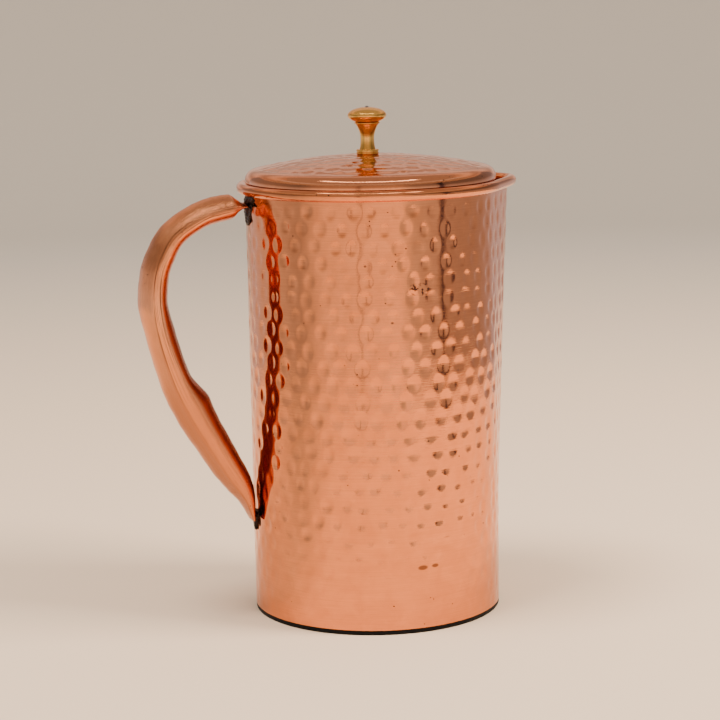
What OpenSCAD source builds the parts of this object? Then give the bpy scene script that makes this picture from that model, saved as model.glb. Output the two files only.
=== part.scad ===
// Hammered copper water jug with a pulled lip, a folded-sheet handle and a loose lid.
// The frame: the origin is on the wall's axis at the table, +Z is up, the lip points to +X
// and the handle to -X.

/* [Jug wall] */
// Outer radius of the round wall
body_r = 52.5; // [44:0.5:66]
// Height of the middle of the rolled rim above the table
mouth_h = 180; // [140:1:230]
// Thickness of the copper sheet
wall_t = 0.8; // [0.6:0.1:1.2]
// How far the lip is pulled out past the round wall, at the rim
lip_pull = 7.4; // [0:0.2:12]
// Half angle over which the tip of the lip is rounded
lip_round = 5; // [3:1:15]

/* [Rolled rim] */
// Radius of the wire inside the rim
wire_r = 1.4; // [1:0.1:2.5]
// How far round the wire the sheet is rolled, in degrees
curl_wrap = 295; // [200:5:300]

/* [Base] */
// Height of the black foot ring below the wall
foot_h = 2; // [1.5:0.1:5]
// Width of the foot ring's sole
foot_w = 8; // [5:0.5:15]
// How far the foot ring is set in from the wall
foot_inset = 0.2; // [0:0.1:2]
// Radius of the foot ring's rounded lower edge
foot_edge_r = 0.8; // [0.3:0.1:1.2]
// Thickness of the foot ring's upstand
foot_lip_t = 1.4; // [1:0.1:3]
// Height of the foot ring's upstand inside the base
foot_lip_h = 2.5; // [1.5:0.1:3]
// Depth of the flange round the base pan
pan_flange_h = 5; // [4:0.2:10]
// How far the middle of the pan is dished up
pan_dish = 2; // [0:0.2:5]
// Leg of the solder ring round the pan
base_solder_leg = 1.6; // [0.8:0.1:3]

/* [Handle] */
// How far the handle's upper end is below the middle of the rim
handle_drop = 6.2; // [5:0.2:40]
// Height of the handle's lower tip
handle_low_z = 41; // [20:1:90]
// Furthest distance from the wall to the middle of the handle
handle_reach = 41; // [30:1:60]
// Width of the handle across the jug
handle_w = 20; // [14:0.5:30]
// Depth of the handle where it is fullest
handle_d = 16; // [10:0.5:22]
// Thickness of the handle's sheet
handle_t = 0.8; // [0.6:0.1:1.2]
// Width of the open seam on the handle's inner side
seam_w = 0.8; // [0.4:0.1:2]
// Thickness of the braze at the handle's ends
braze_t = 2; // [1.4:0.1:3]
// Height of the upper braze
top_braze_h = 5; // [3:0.5:8]
// Height of the lower braze
low_braze_h = 6; // [3:0.5:8]
// Width of the upper braze
top_braze_w = 18; // [12:0.5:26]
// Width of the lower braze
low_braze_w = 13; // [8:0.5:20]

/* [Lid] */
// How far the lid's edge stands out past the round wall
lid_over = 0.1; // [0:0.1:0.6]
// Height of the straight band at the lid's edge
lid_band_h = 0.6; // [0.4:0.1:8]
// Radius of the lid's shoulder
lid_shoulder_r = 4.8; // [2:0.2:7]
// Rise of the lid from its band to its middle
lid_rise = 10.1; // [8:0.1:20]
// Thickness of the lid's sheet
lid_t = 0.8; // [0.6:0.1:1.2]
// Gap between the lid's edge and the rolled rim
seat_gap = 0.2; // [0.1:0.05:0.5]
// How far the collar goes down below the middle of the rim
collar_drop = 10; // [6:0.5:25]
// Thickness of the collar
collar_t = 0.8; // [0.6:0.1:1.5]
// Gap between the collar and the wall
collar_gap = 0.5; // [0.3:0.1:1.5]
// Leg of the solder ring between the collar and the lid
lid_solder_leg = 1.6; // [0.8:0.1:3]

/* [Knob] */
// Height of the knob above the lid
knob_h = 19.7; // [14:0.2:30]
// Radius of the knob's head
knob_head_r = 8.1; // [5:0.1:12]
// Radius of the ring under the head
knob_ring_r = 5.4; // [3.6:0.1:9]
// Radius of the neck where it is thinnest
knob_neck_r = 2.85; // [2.4:0.05:4]
// Radius of the flange that stands on the lid
knob_flange_r = 4.7; // [3.6:0.1:8]
// Thickness of the flange
knob_flange_h = 2.1; // [1:0.1:4]
// How far the knob stands off the middle of the lid, towards the handle
knob_offset = 1; // [0:0.1:3]
// Radius of the screw
screw_r = 1.5; // [1:0.1:2]
// How far the screw's end stands up out of the knob
screw_stand = 0.4; // [0:0.1:2]
// Radius of the screw's head
screw_head_r = 3; // [2.2:0.1:5]
// Thickness of the screw's head
screw_head_h = 2; // [1:0.1:4]
// Radius of the washer under the lid
washer_r = 5; // [4:0.1:10]
// Thickness of the washer
washer_t = 0.8; // [0.5:0.1:2]

/* [Hidden] */
$fn = 96;

// Gap between pieces that are pushed together
fit_gap = 0.05;
// Angle between two sections of the wall
wall_step = 3;
wall_sections = 360 / wall_step;
// Number of flats round the curl and round the wire
curl_sides = 8;
wire_sides = 10;

// The rolled rim
curl_in_r = wire_r + fit_gap;
curl_r = curl_in_r + wall_t;
wall_in_r = body_r - wall_t;
curl_center_r = wall_in_r + curl_r;

// The base
pan_r = wall_in_r - fit_gap;
pan_top = foot_h + pan_flange_h;
pan_bottom = pan_top - wall_t;
// Width of the flat step round the pan's dish
pan_step_w = 6;
foot_lip_r = pan_r - wall_t - fit_gap;

// The lid
lid_r = body_r + lid_over;
lid_seat = mouth_h + sqrt(max(0, curl_r ^ 2 - max(0, curl_center_r - lid_r) ^ 2)) + seat_gap;
lid_band_top = lid_seat + lid_band_h;
lid_top = lid_band_top + lid_rise;
shoulder_in_r = lid_shoulder_r - lid_t;
shoulder_center_r = lid_r - lid_shoulder_r;
// The dome's arc meets the shoulder's arc with no corner
dome_r = (shoulder_center_r ^ 2 + lid_rise ^ 2 - lid_shoulder_r ^ 2)
    / (2 * (lid_rise - lid_shoulder_r));
dome_edge_angle = asin(shoulder_center_r / (dome_r - lid_shoulder_r));
collar_r = wall_in_r - collar_gap;
collar_in_r = collar_r - collar_t;
// Where the collar's top stands under the lid's shoulder
collar_top = lid_band_top
    + sqrt(shoulder_in_r ^ 2 - max(0, collar_r - shoulder_center_r) ^ 2) - fit_gap;

// The knob and its screw
washer_top = dome_under(washer_r + knob_offset) - fit_gap;
knob_top = lid_top + knob_h;
bore_r = screw_r + fit_gap;
// Rounding of the flange's edges
flange_edge = 0.4;
// Height of the head's fullest level below its top
knob_head_h = 3.4;
// Height of the ring and how far the neck steps in under it
knob_ring_h = 0.6;
// Bottom of the ring, below the knob's top
knob_ring_drop = 6.9;

// The handle's middle line and section, from its upper end to its lower tip. Each station is
// [share of the reach out from the wall, share of the height, share of the depth,
//  share of the width]
handle_stations = [
    [0.02, 1.00, 0.00, 0.80], [0.09, 1.00, 0.03, 0.82], [0.15, 0.998, 0.16, 0.85],
    [0.22, 0.994, 0.48, 0.90], [0.34, 0.985, 0.52, 0.94], [0.50, 0.97, 0.52, 0.96],
    [0.76, 0.922, 0.60, 1.00], [0.905, 0.86, 0.65, 1.00], [0.985, 0.79, 0.67, 1.00],
    [1.00, 0.70, 0.72, 1.00], [0.935, 0.595, 0.66, 1.00], [0.80, 0.475, 0.84, 1.00],
    [0.645, 0.375, 0.98, 1.00], [0.47, 0.275, 0.88, 1.00], [0.27, 0.17, 0.76, 0.95],
    [0.155, 0.113, 0.60, 0.88], [0.08, 0.062, 0.32, 0.78], [0.035, 0.00, 0.00, 0.68]
];
handle_top_z = mouth_h - handle_drop;
// Sections between two stations
station_steps = 2;
// Half depth of a pinched end
pinch_half = handle_t + 0.12;
// Points round the handle's section, and how square the section is
section_points = 22;
section_power = 2.4;

// Distance from the axis to the wall's outside at angle a and height z
function lip_out(z) = lip_pull * max(0, z - foot_h) / (mouth_h - foot_h);
function lip_knee(z) = lip_round + acos(body_r / (body_r + lip_out(z)));
function wall_r(a, z) = body_r / cos(max(0, lip_knee(z) - sqrt(a ^ 2 + lip_round ^ 2)));

// A point that stands off the wall's inner face by the distance out, at height z, on the wall's
// section at height level
function wall_point(a, level, out, z) =
    let (r = wall_r(a, level) - wall_t)
    let (slope = (wall_r(a + 0.5, level) - wall_r(a - 0.5, level)) * 180 / PI)
    let (side = norm([r, slope]))
    let (across = [r * cos(a) + slope * sin(a), r * sin(a) - slope * cos(a)] / side)
    [r * cos(a) + out * across.x, r * sin(a) + out * across.y, z];

// A sheet profile's points, each [distance out from the wall's inner face, height, level]
wall_levels = [foot_h, foot_h + 0.33 * (mouth_h - foot_h), foot_h + 0.67 * (mouth_h - foot_h)];
function curl_arc(r, turn) = [curl_r - r * cos(turn), mouth_h + r * sin(turn), mouth_h];
wall_profile = concat(
    [for (z = wall_levels) [0, z, z]],
    [for (i = [0 : curl_sides]) curl_arc(curl_r, curl_wrap * i / curl_sides)],
    [for (i = [curl_sides : -1 : 0]) curl_arc(curl_in_r, curl_wrap * i / curl_sides)],
    [for (i = [2 : -1 : 0]) [wall_t, wall_levels[i], wall_levels[i]]]
);
wire_profile = [
    for (i = [0 : wire_sides - 1]) curl_arc(wire_r, 360 * i / wire_sides)
];

// Sweeps a profile right round the wall, as one closed ring
module sweep_round_wall(profile) {
    count = len(profile);
    points = [
        for (i = [0 : wall_sections - 1])
            for (p = profile) wall_point(wall_step * i - 180, p[2], p[0], p[1])
    ];
    faces = [
        for (i = [0 : wall_sections - 1])
            for (j = [0 : count - 1])
                let (here = i * count, next = ((i + 1) % wall_sections) * count)
                let (k = (j + 1) % count)
                for (face = [[here + j, here + k, next + k], [here + j, next + k, next + j]])
                    face
    ];
    polyhedron(points, faces);
}

// A smooth curve through a list's entries i and i + 1, at t from 0 to 1
function curve_at(list, i, t) =
    let (last = len(list) - 1)
    let (before = list[max(i - 1, 0)], from = list[i])
    let (to = list[min(i + 1, last)], after = list[min(i + 2, last)])
    (2 * from + (to - before) * t + (2 * before - 5 * from + 4 * to - after) * t ^ 2
        + (3 * from - before - 3 * to + after) * t ^ 3) / 2;

handle_rings = (len(handle_stations) - 1) * station_steps;
function handle_at(i) =
    curve_at(handle_stations, min(floor(i / station_steps), len(handle_stations) - 2),
        i / station_steps - min(floor(i / station_steps), len(handle_stations) - 2));
// A point on the handle's middle line, as [distance from the axis, height]
function handle_middle(i) =
    [body_r + pinch_half + (handle_reach - pinch_half) * handle_at(i)[0],
     handle_low_z + (handle_top_z - handle_low_z) * handle_at(i)[1]];
function handle_half_d(i) = pinch_half + (handle_d / 2 - pinch_half) * max(0, handle_at(i)[2]);
function handle_half_w(i) = handle_w / 2 * handle_at(i)[3];
// Direction away from the handle's hollow side at section i
function handle_outward(i) =
    let (step = handle_middle(min(i + 0.5, handle_rings)) - handle_middle(max(i - 0.5, 0)))
    [-step.y, step.x] / norm(step);

function rounded(value) = sign(value) * abs(value) ^ (2 / section_power);
// A point of section i at angle a from its inner side, the sheet's face being inset by depth
function handle_point(i, a, inset) =
    let (middle = handle_middle(i), outward = handle_outward(i))
    let (d = -(handle_half_d(i) - inset) * rounded(cos(a)))
    let (w = (handle_half_w(i) - inset) * rounded(sin(a)))
    [-(middle.x + d * outward.x), w, middle.y + d * outward.y];
// The seam is as wide at every section
function seam_angle(i) = asin((seam_w / 2 / handle_half_w(i)) ^ (section_power / 2));

// Underside of the lid's dome at distance r from its axis
function dome_under(r) = lid_top - dome_r + sqrt((dome_r - lid_t) ^ 2 - r ^ 2);

// The lid's outline from its axis to its edge, the sheet's face being inset by depth
function lid_outline(inset) = concat(
    [for (i = [0 : 9]) let (a = dome_edge_angle * i / 10)
        [(dome_r - inset) * sin(a), lid_top - dome_r + (dome_r - inset) * cos(a)]],
    [for (i = [0 : 8]) let (a = dome_edge_angle + (90 - dome_edge_angle) * i / 8)
        [shoulder_center_r + (lid_shoulder_r - inset) * sin(a),
         lid_band_top + (lid_shoulder_r - inset) * cos(a)]]
);

module ring(outer, inner, h) {
    difference() {
        cylinder(r = outer, h = h);
        translate([0, 0, -1]) cylinder(r = inner, h = h + 2);
    }
}

// The jug

module body_wall() {
    color([0.85, 0.52, 0.36]) sweep_round_wall(wall_profile);
}

module rim_wire() {
    color([0.62, 0.62, 0.60]) sweep_round_wall(wire_profile);
}

module base_pan() {
    dish_r = pan_r - pan_step_w;
    color([0.80, 0.48, 0.33]) rotate_extrude() polygon([
        [0, pan_top + pan_dish], [dish_r / 2, pan_top + pan_dish * 3 / 4],
        [dish_r, pan_top], [pan_r, pan_top], [pan_r, foot_h + fit_gap],
        [pan_r - wall_t, foot_h + fit_gap], [pan_r - wall_t, pan_bottom],
        [dish_r, pan_bottom], [dish_r / 2, pan_bottom + pan_dish * 3 / 4],
        [0, pan_bottom + pan_dish]
    ]);
}

module base_solder() {
    color([0.70, 0.70, 0.68]) rotate_extrude() polygon([
        [pan_r, pan_top], [pan_r, pan_top + base_solder_leg],
        [pan_r - base_solder_leg, pan_top]
    ]);
}

module foot_ring() {
    outer = body_r - foot_inset;
    color([0.08, 0.08, 0.08]) {
        rotate_extrude() difference() {
            union() {
                translate([outer - foot_w, 0]) square([foot_w, foot_h]);
                translate([foot_lip_r - foot_lip_t, 0])
                    square([foot_lip_t, foot_h + foot_lip_h]);
            }
            translate([outer - foot_edge_r, 0]) difference() {
                translate([0, -1]) square([foot_edge_r + 1, foot_edge_r + 1]);
                translate([0, foot_edge_r]) circle(r = foot_edge_r, $fn = 48);
            }
        }
    }
}

module handle_shell() {
    half = section_points - 1;
    count = 2 * section_points;
    points = [
        for (i = [0 : handle_rings])
            let (from = seam_angle(i), turn = 360 - 2 * from)
            for (j = [0 : count - 1])
                j <= half ? handle_point(i, from + turn * j / half, 0)
                    : handle_point(i, from + turn * (count - 1 - j) / half, handle_t)
    ];
    sides = [
        for (i = [0 : handle_rings - 1])
            for (j = [0 : count - 1])
                let (here = i * count, next = here + count, k = (j + 1) % count)
                for (face = [[here + j, next + k, here + k], [here + j, next + j, next + k]])
                    face
    ];
    top_end = [
        for (j = [0 : half - 1])
            for (face = [[j, j + 1, count - 1 - j], [j + 1, count - 2 - j, count - 1 - j]])
                face
    ];
    last = handle_rings * count;
    low_end = [for (face = top_end) [last + face[0], last + face[2], last + face[1]]];
    color([0.83, 0.50, 0.35]) polyhedron(points, concat(sides, top_end, low_end));
}

// A pad of braze on the wall, as wide as w and as high as h, with round ends
module braze_pad(z, w, h) {
    intersection() {
        difference() {
            cylinder(r = body_r + braze_t, h = 2 * mouth_h);
            translate([0, 0, -1]) cylinder(r = body_r, h = 2 * mouth_h + 2);
        }
        translate([0, 0, z]) rotate([0, -90, 0]) linear_extrude(2 * body_r) {
            square([h, w - h], center = true);
            for (side = [-1, 1]) translate([0, side * (w - h) / 2]) circle(d = h, $fn = 48);
        }
    }
}

module handle_top_braze() {
    color([0.25, 0.18, 0.14]) braze_pad(handle_top_z, top_braze_w, top_braze_h);
}

module handle_low_braze() {
    color([0.25, 0.18, 0.14])
        braze_pad(handle_low_z + low_braze_h / 4, low_braze_w, low_braze_h);
}

// The lid

module lid_dome() {
    outline = lid_outline(0);
    under = lid_outline(lid_t);
    last = len(under) - 1;
    color([0.84, 0.54, 0.40]) difference() {
        rotate_extrude() polygon(concat(
            outline, [[lid_r, lid_seat], [lid_r - lid_t, lid_seat]],
            [for (i = [last : -1 : 0]) under[i]]
        ));
        translate([-knob_offset, 0, lid_top - 5]) cylinder(r = bore_r, h = 10, $fn = 32);
    }
}

module lid_collar() {
    foot = mouth_h - collar_drop;
    color([0.80, 0.50, 0.36]) translate([0, 0, foot])
        ring(collar_r, collar_in_r, collar_top - foot);
}

module lid_solder() {
    leg = lid_solder_leg;
    color([0.70, 0.70, 0.68]) rotate_extrude() polygon([
        [collar_in_r, collar_top], [collar_in_r, collar_top - leg],
        [collar_in_r - leg, collar_top]
    ]);
}

module knob() {
    low = lid_top + knob_flange_h;
    ring_z = knob_top - knob_ring_drop;
    neck_h = ring_z - low;
    flare = knob_ring_r - knob_ring_h - knob_neck_r;
    color([0.80, 0.60, 0.25]) translate([-knob_offset, 0, 0]) difference() {
        rotate_extrude() polygon(concat(
            [[0, lid_top], [knob_flange_r - flange_edge, lid_top],
             [knob_flange_r, lid_top + flange_edge],
             [knob_flange_r, low - flange_edge], [knob_flange_r - flange_edge, low]],
            // the waisted neck
            [for (i = [0 : 10]) let (t = i / 10)
                [knob_neck_r + flare
                    * (t < 0.4 ? 0.28 * (1 - t / 0.4) ^ 2 : ((t - 0.4) / 0.6) ^ 2),
                 low + (neck_h - flange_edge / 2) * t]],
            [[knob_ring_r, ring_z], [knob_ring_r, ring_z + knob_ring_h]],
            // the head: a flat oval, a little fuller on top
            [for (i = [0 : 12]) let (a = -60 + 150 * i / 12)
                [knob_head_r * cos(a), knob_top - knob_head_h + knob_head_h * sin(a)]]
        ));
        translate([0, 0, lid_top - 1]) cylinder(r = bore_r, h = knob_h + 2, $fn = 32);
    }
}

module knob_screw() {
    color([0.45, 0.45, 0.47]) translate([-knob_offset, 0, washer_top - washer_t]) {
        translate([0, 0, -screw_head_h]) cylinder(r = screw_head_r, h = screw_head_h);
        cylinder(r = screw_r, h = knob_top + screw_stand - washer_top + washer_t, $fn = 32);
    }
}

module knob_washer() {
    color([0.72, 0.58, 0.30]) translate([-knob_offset, 0, washer_top - washer_t])
        ring(washer_r, bore_r, washer_t);
}

body_wall();
rim_wire();
base_pan();
base_solder();
foot_ring();
handle_shell();
handle_top_braze();
handle_low_braze();
lid_dome();
lid_collar();
lid_solder();
knob();
knob_screw();
knob_washer();
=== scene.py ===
import math
import random

import bmesh
import bpy
from mathutils import Matrix, Vector


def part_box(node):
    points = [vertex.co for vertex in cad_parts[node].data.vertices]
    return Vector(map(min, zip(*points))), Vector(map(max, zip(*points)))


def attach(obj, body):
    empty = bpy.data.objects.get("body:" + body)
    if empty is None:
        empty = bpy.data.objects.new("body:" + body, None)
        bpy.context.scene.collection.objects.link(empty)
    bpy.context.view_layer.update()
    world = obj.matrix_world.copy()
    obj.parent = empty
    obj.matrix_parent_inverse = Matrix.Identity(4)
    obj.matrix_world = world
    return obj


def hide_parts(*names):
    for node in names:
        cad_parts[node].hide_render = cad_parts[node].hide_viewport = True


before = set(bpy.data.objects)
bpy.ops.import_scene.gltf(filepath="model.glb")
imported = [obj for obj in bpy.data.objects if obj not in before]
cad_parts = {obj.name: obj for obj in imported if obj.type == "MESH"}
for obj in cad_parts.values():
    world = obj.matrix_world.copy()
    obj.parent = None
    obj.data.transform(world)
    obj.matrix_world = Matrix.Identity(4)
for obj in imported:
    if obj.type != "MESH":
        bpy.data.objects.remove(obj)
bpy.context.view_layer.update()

# A hammered copper water jug with a loose lid. A piece's lengths are in millimetres and its
# angles in degrees until it is finished, and then its mesh is scaled to metres. The setting's
# lengths are in metres from the start.
MM = 0.001

# A full turn is spun as this many equal wedges
WEDGES = 12

# The front of the jug, as an angle about its axis; the lip is at 0
FRONT_TURN = -105

# Sheet and wire
SHEET = 0.8
WIRE_R = 1.4
FIT = 0.05
CURL_R = WIRE_R + FIT + SHEET
CURL_WRAP = 295

# The jug's wall
FOOT_INSET = 0.2
body_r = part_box("foot_ring")[1].x / MM + FOOT_INSET
wall_in_r = body_r - SHEET
foot_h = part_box("body_wall")[0].z / MM
mouth_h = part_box("body_wall")[1].z / MM - CURL_R
LIP_ROUND = 5
lip_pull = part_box("body_wall")[1].x / MM - wall_in_r - 2 * CURL_R

# The lid
lid_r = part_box("lid_dome")[1].x / MM
lid_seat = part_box("lid_dome")[0].z / MM
lid_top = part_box("lid_dome")[1].z / MM
LID_BAND = 0.6
SHOULDER_R = 4.8
BORE_R = 1.55
knob_x = (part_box("knob")[0].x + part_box("knob")[1].x) / 2 / MM
knob_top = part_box("knob")[1].z / MM

# The handle
HANDLE_DROP = 6.2
HANDLE_LOW_Z = 41
handle_top_z = mouth_h - HANDLE_DROP
HANDLE_REACH = 41
HANDLE_W = 20
HANDLE_D = 16
PINCH_HALF = SHEET + 0.12


# Shapes

def smooth_step(low, high, value):
    """0 below low, 1 above high, and a soft rise between them."""
    share = max(0.0, min(1.0, (value - low) / (high - low)))
    return share * share * (3 - 2 * share)


def spin_profile(profile, steps, closed=True):
    """Turns a profile of (radius, height) points round the Z axis: one wedge, then its copies."""
    bm = bmesh.new()
    points = [bm.verts.new((radius, 0, height)) for radius, height in profile]
    edges = [bm.edges.new(pair) for pair in zip(points, points[1:])]
    if closed:
        edges.append(bm.edges.new((points[-1], points[0])))
    wedge = math.tau / WEDGES
    bmesh.ops.spin(bm, geom=points + edges, cent=(0, 0, 0), axis=(0, 0, 1),
                   angle=wedge, steps=round(steps / WEDGES))
    bmesh.ops.spin(bm, geom=bm.verts[:] + bm.edges[:] + bm.faces[:], cent=(0, 0, 0),
                   axis=(0, 0, 1), angle=math.tau - wedge, steps=WEDGES - 1, use_duplicate=True)
    bmesh.ops.remove_doubles(bm, verts=bm.verts, dist=1e-3)
    bmesh.ops.recalc_face_normals(bm, faces=bm.faces)
    return bm


def arc(center_r, center_z, radius, start, end, count):
    """Points on an arc; 0 is straight up and 90 is away from the axis."""
    turns = [math.radians(start + (end - start) * i / count) for i in range(count + 1)]
    return [(center_r + radius * math.sin(t), center_z + radius * math.cos(t)) for t in turns]


def straight(start, end, count):
    """Points from start up to but not including end."""
    return [tuple(a + (b - a) * i / count for a, b in zip(start, end)) for i in range(count)]


def finish_piece(name, bm, material, body, nodes, sharp=38):
    """Makes an object of a mesh that is in millimetres, parents it to its body's empty, and hides the CAD
    parts that it replaces.
    """
    for face in bm.faces:
        face.smooth = True
    for edge in bm.edges:
        if edge.is_manifold and edge.calc_face_angle() > math.radians(sharp):
            edge.smooth = False
    bmesh.ops.scale(bm, vec=(MM, MM, MM), verts=bm.verts)
    mesh = bpy.data.meshes.new(name)
    bm.to_mesh(mesh)
    bm.free()
    mesh.materials.append(material)
    piece = bpy.data.objects.new(name, mesh)
    bpy.context.scene.collection.objects.link(piece)
    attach(piece, body)
    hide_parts(*nodes)


# Hammer marks

class HammerMarks:
    """Rows of dents round a surface: across is a distance round it, and up is along it."""

    # A row that is further off than this can't reach a point
    row_reach = 9

    def __init__(self, seed, rows, size, depth, spread):
        """rows is a list of (up, length of the row, number of dents)."""
        draw = random.Random(seed)
        self.rows = []
        for index, (up, length, count) in enumerate(rows):
            phase = (index % 2) / 2 + draw.uniform(-0.22, 0.22)
            row = []
            for i in range(count):
                across = (i + phase + draw.uniform(-spread, spread)) * length / count
                wide = size[0] / 2 * draw.uniform(0.86, 1.14)
                tall = size[1] / 2 * draw.uniform(0.86, 1.12)
                lift = draw.uniform(-spread, spread) * size[1] * 0.7
                row.append((across, up + lift, wide, tall, depth * draw.uniform(0.55, 1.15)))
            self.rows.append((up, length, row))

    def depth_at(self, turn, up):
        """How deep the surface is hammered in, at a share of a turn and a distance up."""
        found = 0
        for row_up, length, row in self.rows:
            if abs(row_up - up) > self.row_reach:
                continue
            across = turn * length
            near = int(turn * len(row))
            for i in range(near - 2, near + 3):
                dent = row[i % len(row)]
                aside = (across - dent[0] + length / 2) % length - length / 2
                reach = (aside / dent[2]) ** 2 + ((up - dent[1]) / dent[3]) ** 2
                if reach < 1:
                    found = max(found, dent[4] * (1 - reach))
        return found


# The jug's wall and its rolled rim

def lip_out(z):
    return lip_pull * max(0, z - foot_h) / (mouth_h - foot_h)


def wall_radius(angle, z):
    """Distance from the axis to the wall's outside; the lip is at angle 0."""
    knee = LIP_ROUND + math.degrees(math.acos(body_r / (body_r + lip_out(z))))
    return body_r / math.cos(math.radians(max(0, knee - math.hypot(angle, LIP_ROUND))))


def wall_place(angle, level, out):
    """A point that stands off the wall's inner face by the distance out."""
    radius = wall_radius(angle, level) - SHEET
    slope = math.degrees(wall_radius(angle + 0.5, level) - wall_radius(angle - 0.5, level))
    c, s = math.cos(math.radians(angle)), math.sin(math.radians(angle))
    side = math.hypot(radius, slope)
    x = radius * c + out * (radius * c + slope * s) / side
    y = radius * s + out * (radius * s - slope * c) / side
    return x, y


def hammered_share(z):
    """How strongly the wall is hammered at a height: not at the rim, and less near the foot."""
    under_rim = smooth_step(mouth_h - 3, mouth_h - 6, z)
    above_foot = 0.42 + 0.58 * smooth_step(foot_h + 14, foot_h + 44, z)
    return under_rim * above_foot * smooth_step(foot_h, foot_h + 3, z)


def make_wall(material):
    """One sheet, rolled round the rim's wire at its top and hammered on its outside."""
    outer_rows, inner_rows, steps = 178, 12, 444
    curl_center = wall_in_r + CURL_R
    curl_in = WIRE_R + FIT
    profile = straight((body_r, foot_h), (body_r, mouth_h), outer_rows)
    profile += arc(curl_center, mouth_h, curl_in, -90, CURL_WRAP - 90, 7)
    profile += arc(curl_center, mouth_h, CURL_R, CURL_WRAP - 90, -90, 18)
    profile += straight((wall_in_r, mouth_h), (wall_in_r, foot_h), inner_rows)[1:]
    profile.append((wall_in_r, foot_h))
    bm = spin_profile(profile, steps)
    first, pitch, dent_rows, dents_round = mouth_h - 6.6, 7.0, 25, 38
    rows = [(first - pitch * i, math.tau * body_r, dents_round) for i in range(dent_rows)]
    marks = HammerMarks(seed=11, rows=rows, size=(5.3, 6.5), depth=0.40, spread=0.15)
    inside = bm.verts.layers.float.new("inside")
    for vert in bm.verts:
        x, y, z = vert.co
        angle = math.degrees(math.atan2(y, x))
        out = math.hypot(x, y) - wall_in_r
        level = mouth_h if out > SHEET + FIT / 2 else min(z, mouth_h)
        vert[inside] = float(abs(out) < FIT / 2 and z < mouth_h - 0.5)
        if abs(out - SHEET) < FIT / 2 and z < mouth_h - 0.1:
            out -= hammered_share(z) * marks.depth_at(angle / 360 + 0.5, z)
        vert.co.x, vert.co.y = wall_place(angle, level, out)
    finish_piece("wall", bm, material, "jug", ["body_wall"])


# The base

def make_base_pan(material):
    """A dished disc with shallow rings, and a flange that goes down inside the wall."""
    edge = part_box("base_pan")[1].x / MM
    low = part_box("base_pan")[0].z / MM
    flange_h, corner, dish, dish_r = 5, 1.2, 2, edge - 6
    top = low + flange_h - FIT
    points, ring_h, ring_turns = 16, 0.12, 9
    upper = [(0, top + dish)]
    for i in range(1, points + 1):
        share = i / points
        ring = ring_h * math.sin(share * ring_turns * math.tau) * (0.3 + 0.7 * share)
        upper.append((dish_r * share, top + dish * (1 - share ** 2) + ring))
    upper += arc(edge - corner, top - corner, corner, 0, 90, 6)
    upper += [(edge, low)]
    lower = [(edge - SHEET, low)]
    lower += arc(edge - corner, top - corner, corner - SHEET, 90, 0, 4)
    lower += [(r, z - SHEET) for r, z in reversed(upper[:points + 1])]
    bm = spin_profile(upper + lower, 180, closed=False)
    finish_piece("base_plate", bm, material, "jug", ["base_pan"])


def make_foot(material):
    """A flat ring under the wall, with an upstand inside it and a groove round its sole."""
    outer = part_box("foot_ring")[1].x / MM
    lip_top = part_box("foot_ring")[1].z / MM
    width, lip_t, edge, soft, gap, groove = 8, 1.4, 0.2, 0.15, 0.02, 0.35
    lip_out_r = outer + FOOT_INSET - 2 * SHEET - 2 * FIT
    lip_in_r = lip_out_r - lip_t
    inner = outer - width
    profile = arc(outer - edge, edge, edge, 180, 90, 6)
    profile += [(outer, foot_h - soft), (outer - soft / 2, foot_h - gap), (lip_out_r, foot_h - gap)]
    profile += arc(lip_out_r - soft, lip_top - soft, soft, 90, 0, 3)
    profile += arc(lip_in_r + soft, lip_top - soft, soft, 0, -90, 3)
    profile += [(lip_in_r, foot_h)]
    profile += arc(inner + soft, foot_h - soft, soft, 0, -90, 3)
    profile += arc(inner + edge, edge, edge, -90, -180, 6)
    middle = outer - width / 2
    profile += [(middle - 1, 0), (middle - 0.7, groove), (middle + 0.7, groove), (middle + 1, 0)]
    bm = spin_profile(profile, 240)
    finish_piece("foot", bm, material, "jug", ["foot_ring"], sharp=50)


# The handle: a sheet folded to a tube with its seam towards the wall

# Share of the reach out from the wall, of the height, of the depth and of the width
HANDLE_STATIONS = [
    (0.02, 1.00, 0.00, 0.80), (0.055, 1.00, 0.04, 0.82), (0.11, 1.00, 0.26, 0.85),
    (0.18, 0.998, 0.54, 0.90), (0.34, 0.989, 0.59, 0.94), (0.50, 0.974, 0.58, 0.96),
    (0.76, 0.925, 0.61, 1.00), (0.905, 0.86, 0.65, 1.00), (0.985, 0.79, 0.67, 1.00),
    (1.00, 0.70, 0.72, 1.00), (0.935, 0.595, 0.66, 1.00), (0.80, 0.475, 0.84, 1.00),
    (0.645, 0.375, 0.98, 1.00), (0.47, 0.275, 0.88, 1.00), (0.27, 0.17, 0.76, 0.95),
    (0.155, 0.113, 0.60, 0.88), (0.08, 0.062, 0.32, 0.78), (0.035, 0.00, 0.00, 0.68),
]
LAST_STATION = len(HANDLE_STATIONS) - 1


def handle_station(u):
    """The four shares on a smooth curve at u, which counts stations from the upper end."""
    i = min(int(u), LAST_STATION - 1)
    t = u - i
    near = [HANDLE_STATIONS[max(0, min(LAST_STATION, i + k))] for k in (-1, 0, 1, 2)]
    return [
        (2 * b + (c - a) * t + (2 * a - 5 * b + 4 * c - d) * t ** 2
         + (3 * b - a - 3 * c + d) * t ** 3) / 2
        for a, b, c, d in zip(*near)
    ]


def handle_middle(u):
    shares = handle_station(u)
    out = body_r + PINCH_HALF + (HANDLE_REACH - PINCH_HALF) * shares[0]
    return Vector((-out, 0, HANDLE_LOW_Z + (handle_top_z - HANDLE_LOW_Z) * shares[1]))


def bump_at(u, middle, width):
    return math.exp(-((u - middle) / width) ** 2)


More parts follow.
